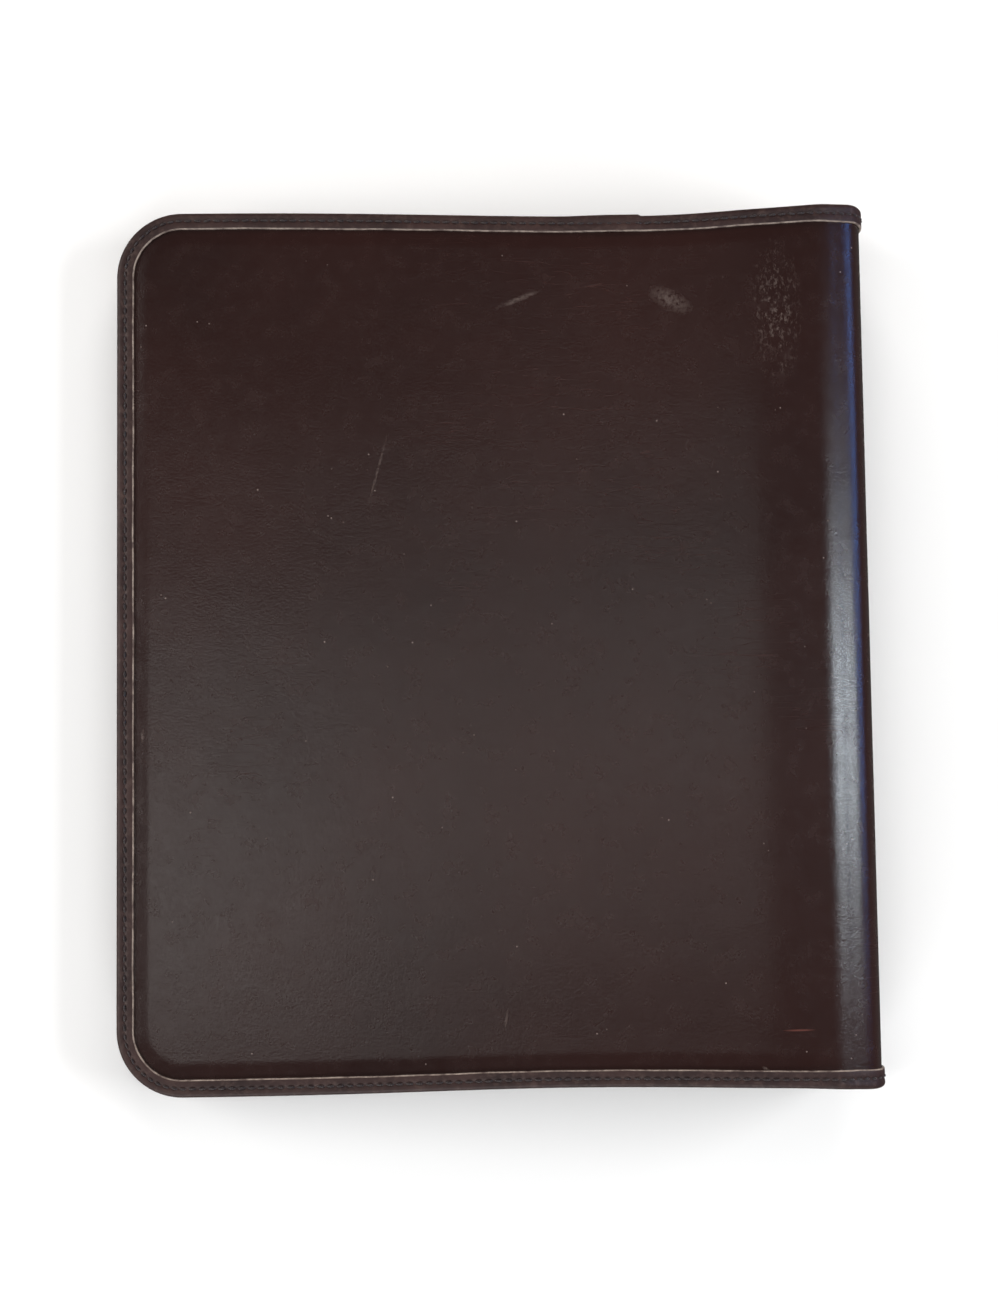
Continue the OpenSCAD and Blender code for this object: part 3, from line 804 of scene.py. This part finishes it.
pockets = {  # node: cover, where the mouth is along x
    "document_pocket": ("front", -28.0), "pad_pocket": ("back", 20.0),
}
pocketShape = {
    "inset": 9.0, "gap": 0.3, "thick": 0.8, "hem": 0.45, "hemWidth": 6.0, "seamIn": 2.5,
    "hemSeam": 4.6, "seamDip": 0.22, "hemDip": 0.2, "edge": 0.3, "ripple": 0.08,
}
pocketInset = pocketShape["inset"]
for node, (key, mouth) in pockets.items():
    sheet = sheets[key]
    start = sheet.uAt(mouth)

    # the inside face lifts off the lining past the seam: innerFace + gap sewn
    def underside(u, y, d):
        sewn = smoothStep(d, pocketInset + 3.2, pocketInset + 9)
        return stack["innerFace"] + 0.02 + pocketShape["gap"] * sewn

    # the pocket's thickness on top, with the hem added and the sewn lines pressed in as bells
    def topside(u, y, d):
        p = pocketShape
        hemEnd = start + p["hemWidth"]
        hem = p["hem"] * (1 - smoothStep(u, hemEnd, hemEnd + 0.8))
        seamDip = p["seamDip"] * np.exp(-((d - pocketInset - p["seamIn"]) / 0.7) ** 2)
        hemDip = p["hemDip"] * np.exp(-((u - start - p["hemSeam"]) / 0.6) ** 2)
        soft = p["edge"] * (1 - smoothStep(d, pocketInset, pocketInset + 1.0))
        thick = p["thick"] + hem - seamDip - hemDip - soft + p["ripple"] * wave(u, y, 8, 40)
        return underside(u, y, d) + thick

    pocket = coverSlab(node + "_sewn", sheet, start, pocketInset, underside, topside,
                       looks["pocket"], edgeStep=0.6, midStep=3.5)
    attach(pocket, sheet.body)
    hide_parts(node)
    s, path, inward = tapePath(sheet, cover["stitchPitch"])
    line = (path + inward * (pocketInset + pocketShape["seamIn"]))[path[:, 0] > start + 2]
    seam(node + "_seam", sheet, line[:, 0], line[:, 1], stack["innerFace"] + 0.68)
    reach = halfHeight - pocketInset - 5
    y = np.arange(-reach, reach, cover["stitchPitch"])
    seam(node + "_hem_seam", sheet, 0 * y + start + pocketShape["hemSeam"], y,
         stack["innerFace"] + 1.45)
print("pockets made:", len(pockets))

slotThick = 0.7
slotBorder = 1.8  # the seam's distance in from a slot's edge
front = sheets["front"]
slots = [
    [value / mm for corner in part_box(f"card_slot_{k}") for value in corner] for k in (1, 2, 3)
]
for k, (x0, y0, z0, x1, y1, z1) in enumerate(slots):
    x = spread([x0, x0 + 2.4, x1 - 2.4, x1], [0.4, 4, 0.4])[:, None]
    y = spread([y0, y0 + 2.4, y1 - 6, y1], [0.4, 1.5, 0.4])[None, :]
    under = 0 * x + stack["innerFace"] + 0.02 + 0 * y
    for below in slots[:k]:
        under = under + slotThick * smoothStep(y, below[1] - 1.6, below[1]) * (y <= below[4] + 1)
    border = np.minimum(np.minimum(x - x0, x1 - x), y - y0)
    over = under + slotThick - 0.25 * (1 - smoothStep(border, 0, 0.7))
    over = over - 0.16 * np.exp(-((border - slotBorder) / 0.5) ** 2)
    over = over - 0.14 * np.exp(-((y1 - y - 2.6) / 0.45) ** 2)  # a creased line by the mouth
    over = over - 0.2 * (1 - smoothStep(y1 - y, 0, 0.5))
    u, y = np.broadcast_arrays(front.uAt(x), y)
    points, faces = closedSheet(front.place(u, y, under), front.place(u, y, over))
    card = makePiece(f"card_slot_{k + 1}_sewn", points, faces, [looks["pocket"]])
    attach(card, "front_cover")
    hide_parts(f"card_slot_{k + 1}")
    down = np.arange(y1 - 2, y0 + slotBorder, -3.0)
    across = np.arange(x0 + 4.5, x1 - 3, 3.0)
    line = np.concatenate([
        np.stack([0 * down + x0 + slotBorder, down], 1),
        np.stack([across, 0 * across + y0 + slotBorder], 1),
        np.stack([0 * down + x1 - slotBorder, down[::-1]], 1)])
    level = stack["innerFace"] + slotThick - 0.12 + sum(
        slotThick * smoothStep(line[:, 1], below[1] - 1.6, below[1]) for below in slots[:k])
    seam(f"card_slot_{k + 1}_seam", front, front.uAt(line[:, 0]), line[:, 1], level)

loopAt = [mount for mount in frame["record"]["mounts"] if mount["name"] == "pen_bore"][0]
loopX, loopZ = loopAt["pos_m"][0] / mm, loopAt["pos_m"][2] / mm
loopLow, loopHigh = [[v / mm for v in corner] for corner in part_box("pen_loop")]


# a rounded strip turned once round the pen, on a sewn tab: circle times strip section
def penLoop():
    inner = loopAt["dims"]["r_mm"]
    outer = loopZ - loopLow[2]
    long = (loopHigh[1] - loopLow[1]) / 2
    section = np.array([
        (inner + 0.12, -long), (inner, -long + 0.25), (inner, 0), (inner, long - 0.25),
        (inner + 0.12, long), (outer - 0.25, long), (outer, long - 0.3), (outer - 0.1, long - 1.8),
        (outer, long - 2.6), (outer, 0), (outer, -long + 2.6), (outer - 0.1, -long + 1.8),
        (outer, -long + 0.3), (outer - 0.25, -long),
    ])
    turns = 72
    a = np.arange(turns) * 2 * math.pi / turns
    ring = np.stack([
        loopX + section[None, :, 0] * np.cos(a)[:, None], 0 * a[:, None] + section[None, :, 1],
        loopZ + section[None, :, 0] * np.sin(a)[:, None]], -1) * mm
    count = len(section)
    index = np.arange(turns * count).reshape(turns, count)
    turned, beside = np.roll(index, -1, 0), np.roll(index, -1, 1)
    ringFaces = np.stack([index, beside, np.roll(turned, -1, 1), turned], -1).reshape(-1, 4)
    left, right = loopLow[0], loopHigh[0]
    x = spread([left, left + 2, right - 2, right], [0.5, 1.5, 0.5])[:, None]
    y = spread([-long, -long + 2, long - 2, long], [0.5, 2.5, 0.5])[None, :]
    border = np.minimum(np.minimum(x - left, right - x), long - np.abs(y))
    top = stack["innerFace"] + 0.7 - 0.3 * (1 - smoothStep(border, 0, 0.8))
    grid = np.stack(np.broadcast_arrays(x, y, top), -1) * mm
    base = np.stack(np.broadcast_arrays(x, y, 0 * top + stack["innerFace"] + 0.02), -1) * mm
    tab, tabFaces = closedSheet(grid, base)
    points = np.concatenate([ring.reshape(-1, 3), tab])
    faces = np.concatenate([ringFaces, tabFaces + turns * count])
    return makePiece("pen_loop_sewn", points, faces, [looks["pocket"]])


loop = penLoop()
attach(loop, "front_cover")
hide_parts("pen_loop")
y = np.arange(loopLow[1] + 2, loopHigh[1] - 1, 3.0)
for side, offset in (("left", -8.6), ("right", 8.6)):
    seam("pen_loop_seam_" + side, front, front.uAt(loopX + offset) + 0 * y, y,
         stack["innerFace"] + 0.66)
print("card slots and pen loop made")


view = {"place": (-75, -60, 740), "pitch": -4.63, "yaw": 5.965, "roll": 0.3, "lens": 58.67}


# world to camera is roll * yaw * pitch, looking down from above
def aimCamera():
    p, w, r = (math.radians(view[k]) for k in ("pitch", "yaw", "roll"))
    pitch = np.array([[1, 0, 0], [0, math.cos(p), -math.sin(p)], [0, math.sin(p), math.cos(p)]])
    yaw = np.array([[math.cos(w), 0, math.sin(w)], [0, 1, 0], [-math.sin(w), 0, math.cos(w)]])
    roll = np.array([[math.cos(r), -math.sin(r), 0], [math.sin(r), math.cos(r), 0], [0, 0, 1]])
    camera = bpy.data.objects.new("camera", bpy.data.cameras.new("camera"))
    camera.data.lens = view["lens"]
    turned = np.eye(4)
    turned[:3, :3] = (roll @ yaw @ pitch).T
    turned[:3, 3] = np.array(view["place"]) * mm
    camera.matrix_world = Matrix(turned.tolist())
    bpy.context.scene.collection.objects.link(camera)
    bpy.context.scene.camera = camera


# a square of paper reaching this far each way at this height, in metres
paper = {"reach": 4, "level": -0.0003}


def makeFloor():
    reach, level = paper["reach"], paper["level"]
    corners = [(-reach, -reach, level), (reach, -reach, level), (reach, reach, level),
               (-reach, reach, level)]
    floor = makePiece("floor", corners, [[0, 1, 2, 3]], [])
    s = Shading("floorPaper")
    tone = s.mix(s.noise(6, 2), srgb(250, 250, 250), srgb(253, 253, 253))
    floor.data.materials.append(s.finish(tone, 0.9, s.bump(s.noise(700, 3), 0.05, 0.0001)))
    floor.visible_glossy = False  # the pale paper isn't mirrored in the dark leather


lamps = {  # place, aim, size, power, tint: metres and watts
    "head": ((0.0, 2.0, 0.9), (0, 0, 0), (1.8, 0.8), 32, (1.0, 0.97, 0.94)),
    "foot": ((-0.3, -2.0, 0.8), (0, 0, 0), (1.8, 0.7), 32, (0.96, 0.98, 1.0)),
    "left": ((-2.0, 0.2, 0.8), (0, 0, 0), (1.6, 0.7), 34, (1.0, 0.98, 0.96)),
    "right": ((2.0, 0.0, 1.0), (0, 0, 0), (1.6, 0.8), 46, (1.0, 1.0, 1.0)),
    "sheen": ((-0.62, -0.12, 1.5), (-0.05, 0, 0), (0.36, 0.5), 1.9, (1.0, 0.98, 0.95)),
    "above": ((0.02, 0.06, 1.6), (0.05, 0, 0), (0.20, 0.36), 0.8, (1.0, 0.98, 0.96)),
    "strip": ((0.66, 0.0, 0.62), (0.11, -0.03, 0.04), (0.05, 0.12), 2.5, (0.82, 0.93, 1.0)),
    "narrow": ((1.3, 0.28, 0.52), (0.12, 0.05, 0.04), (0.75, 0.05), 3.4, (0.12, 0.35, 1.0)),
}
hiddenInLeather = ("right", "head")  # fills that light the floor but don't show in the sheen
onlyInLeather = ("strip", "narrow")  # streaks in the leather that cast no light on the floor
worldStrength = 0.10


# each lamp's z axis points from its aim back to its place, and x lies level
def makeLights():
    for name, (place, aim, size, power, tint) in lamps.items():
        data = bpy.data.lights.new(name, "AREA")
        data.shape, data.size, data.size_y = "RECTANGLE", size[0], size[1]
        data.energy, data.color = power, tint
        lamp = bpy.data.objects.new(name, data)
        direction = np.array(place) - np.array(aim)
        z = direction / np.linalg.norm(direction)
        x = np.cross([0, 0, 1], z)
        x /= np.linalg.norm(x)
        turned = np.eye(4)
        turned[:3, :3] = np.stack([x, np.cross(z, x), z], 1)
        turned[:3, 3] = place
        lamp.matrix_world = Matrix(turned.tolist())
        bpy.context.scene.collection.objects.link(lamp)
        lamp.visible_glossy = name not in hiddenInLeather
        lamp.visible_diffuse = name not in onlyInLeather
    world = bpy.data.worlds.new("studio")
    world.use_nodes = True
    background = world.node_tree.nodes["Background"]
    background.inputs["Color"].default_value = (1, 1, 1, 1)
    background.inputs["Strength"].default_value = worldStrength
    bpy.context.scene.world = world


aimCamera()
makeFloor()
makeLights()
bpy.context.scene.view_settings.view_transform = "Standard"
print("stage ready")
